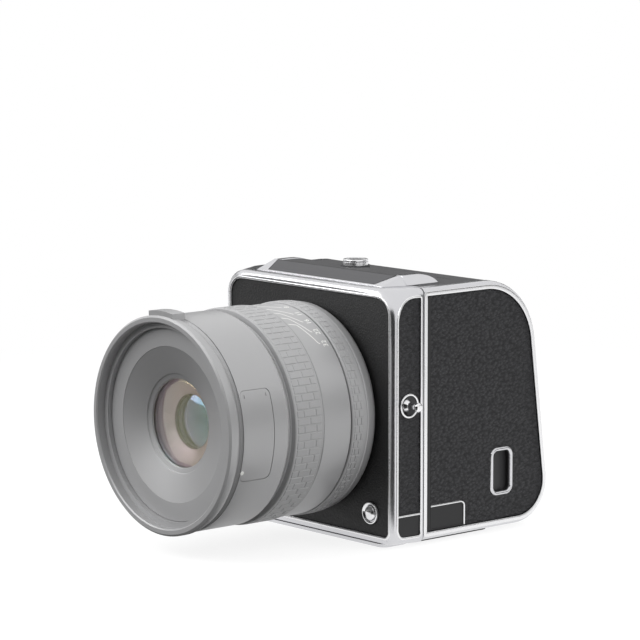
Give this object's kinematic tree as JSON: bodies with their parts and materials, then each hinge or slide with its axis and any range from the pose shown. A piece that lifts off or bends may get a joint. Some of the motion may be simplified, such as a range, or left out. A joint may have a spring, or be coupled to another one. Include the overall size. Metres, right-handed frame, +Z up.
{
  "type": "medium format digital camera",
  "caption": "Boxy modular camera: slim chrome-framed front body, digital back with tilting screen and side door, and a cylindrical autofocus lens with fluted turning rings.",
  "frame": {"origin": "mouth of the tripod thread, in the resting plane, on the body's centre line", "axes": "+Z up, -Y the way the lens looks, +X the side of the battery and card door"},
  "size_m": [0.102, 0.1426, 0.0963],
  "materials": {
    "satin_chrome": "satin chrome plate",
    "bright_chrome": "polished",
    "black_panel": "fine-grained black paint",
    "leatherette": "fine wrinkled grain",
    "dark_metal": "satin dark grey anodised",
    "label_black": "smooth black",
    "black_plastic": "matte",
    "steel": "turned",
    "lens_satin": "satin grey anodised",
    "lens_knurl": "satin grey, fluted",
    "lens_inner": "matt grey",
    "coated_glass": "anti-reflection coating",
    "screen_black": "glossy cover glass",
    "sensor_stack": "polished filter stack",
    "board_green": "lacquered",
    "card_blue": "moulded"
  },
  "bodies": {
    "body": {"front_frame": "satin_chrome", "front_panel": "black_panel", "mount_ring": "steel", "side_skins": "leatherette", "front_label": "label_black", "strap_lugs": "bright_chrome", "release_bezel": "bright_chrome", "top_wedge": "satin_chrome", "name_plate": "dark_metal", "base_plate": "dark_metal", "base_screws": "steel", "back_shell": "satin_chrome", "wrap_skin": "dark_metal", "hump_cover": "dark_metal", "hump_fins": "satin_chrome", "knob_collar": "satin_chrome", "door_hinge_pin": "steel", "left_skin": "leatherette", "port_hinge_pin": "steel", "usb_socket": "steel", "battery": "black_plastic", "memory_cards": "card_blue", "sensor_carrier": "dark_metal", "sensor": "sensor_stack", "main_board": "board_green", "screen_hinge_pin": "steel", "foot_plate": "dark_metal", "tripod_bush": "steel"},
    "lens": {"lens_bayonet": "steel", "lens_sleeve": "lens_inner", "rear_barrel": "lens_satin", "scale_ring": "lens_satin", "front_barrel": "lens_satin", "lens_inlay": "lens_satin", "front_cone": "lens_inner", "front_element": "coated_glass", "shutter_unit": "lens_inner", "guide_rods": "steel", "rear_element": "coated_glass"},
    "side_door": {"side_door": "black_plastic", "door_skin": "leatherette", "door_label": "label_black", "latch_bezel": "bright_chrome"},
    "screen": {"screen_frame": "black_plastic", "screen_glass": "screen_black"},
    "focus_slider": {"focus_slider": "lens_inner"},
    "focus_ring": {"focus_ring": "lens_knurl"},
    "control_ring": {"control_ring": "lens_knurl"},
    "focus_group": {"focus_group": "lens_inner"},
    "release_button": {"release_button": "bright_chrome"},
    "shutter_button": {"shutter_button": "bright_chrome"},
    "control_dial": {"control_dial": "satin_chrome"},
    "release_knob": {"release_knob": "bright_chrome"},
    "door_latch": {"door_latch": "black_plastic"},
    "port_cover": {"port_cover": "black_plastic"},
    "rear_button_1": {"rear_button_1": "black_plastic"},
    "rear_button_2": {"rear_button_2": "black_plastic"},
    "rear_button_3": {"rear_button_3": "black_plastic"},
    "rear_button_4": {"rear_button_4": "black_plastic"},
    "rear_button_5": {"rear_button_5": "black_plastic"}
  },
  "joints": [
    {"name": "lens_twist", "type": "hinge", "parent": "body", "child": "lens", "pos_m": [0, -0.033, 0.0458], "axis": [0, -1, 0], "range_deg": [0, 60]},
    {"name": "focus_shift", "type": "slide", "parent": "lens", "child": "focus_slider", "axis": [0, -1, 0], "range_m": [0, 0.0026]},
    {"name": "focus_turn", "type": "hinge", "parent": "focus_slider", "child": "focus_ring", "pos_m": [0, -0.0646, 0.0458], "axis": [0, -1, 0], "range_deg": [-60, 60]},
    {"name": "focus_drive", "type": "slide", "parent": "lens", "child": "focus_group", "axis": [0, -1, 0], "range_m": [-0.0025, 0.0025]},
    {"name": "control_turn", "type": "hinge", "parent": "lens", "child": "control_ring", "pos_m": [0, -0.04175, 0.0458], "axis": [0, -1, 0], "continuous": true},
    {"name": "release_press", "type": "slide", "parent": "body", "child": "release_button", "axis": [0, 1, 0], "range_m": [0, 0.0015], "stiffness_N_per_m": 600},
    {"name": "shutter_press", "type": "slide", "parent": "body", "child": "shutter_button", "axis": [0, 1, 0], "range_m": [0, 0.0015], "stiffness_N_per_m": 600},
    {"name": "dial_turn", "type": "hinge", "parent": "body", "child": "control_dial", "pos_m": [-0.0334, -0.033, 0.0118], "axis": [0, -1, 0], "continuous": true},
    {"name": "knob_press", "type": "slide", "parent": "body", "child": "release_knob", "axis": [0, 0, -1], "range_m": [0, 0.0012], "stiffness_N_per_m": 800},
    {"name": "door_swing", "type": "hinge", "parent": "body", "child": "side_door", "pos_m": [0.0437, -0.0156, 0.0458], "axis": [0, 0, -1], "range_deg": [0, 90]},
    {"name": "latch_slide", "type": "slide", "parent": "side_door", "child": "door_latch", "axis": [0, 1, 0], "range_m": [0, 0.0025], "stiffness_N_per_m": 400},
    {"name": "port_swing", "type": "hinge", "parent": "body", "child": "port_cover", "pos_m": [-0.0438, 0.0024, 0.0195], "axis": [0, 0, 1], "range_deg": [0, 90]},
    {"name": "screen_tilt", "type": "hinge", "parent": "body", "child": "screen", "pos_m": [0, 0.03367, 0.07052], "axis": [1, 0, 0], "range_deg": [0, 90]},
    {"name": "rear_press_1", "type": "slide", "parent": "body", "child": "rear_button_1", "axis": [0, -0.992, -0.1262], "range_m": [0, 0.0006], "stiffness_N_per_m": 600},
    {"name": "rear_press_2", "type": "slide", "parent": "body", "child": "rear_button_2", "axis": [0, -0.992, -0.1262], "range_m": [0, 0.0006], "stiffness_N_per_m": 600},
    {"name": "rear_press_3", "type": "slide", "parent": "body", "child": "rear_button_3", "axis": [0, -0.992, -0.1262], "range_m": [0, 0.0006], "stiffness_N_per_m": 600},
    {"name": "rear_press_4", "type": "slide", "parent": "body", "child": "rear_button_4", "axis": [0, -0.992, -0.1262], "range_m": [0, 0.0006], "stiffness_N_per_m": 600},
    {"name": "rear_press_5", "type": "slide", "parent": "body", "child": "rear_button_5", "axis": [0, -0.992, -0.1262], "range_m": [0, 0.0006], "stiffness_N_per_m": 600}
  ],
  "couplings": [
    {"joint": "focus_drive", "follows": "focus_turn", "m_per_rad": 0.00238}
  ]
}
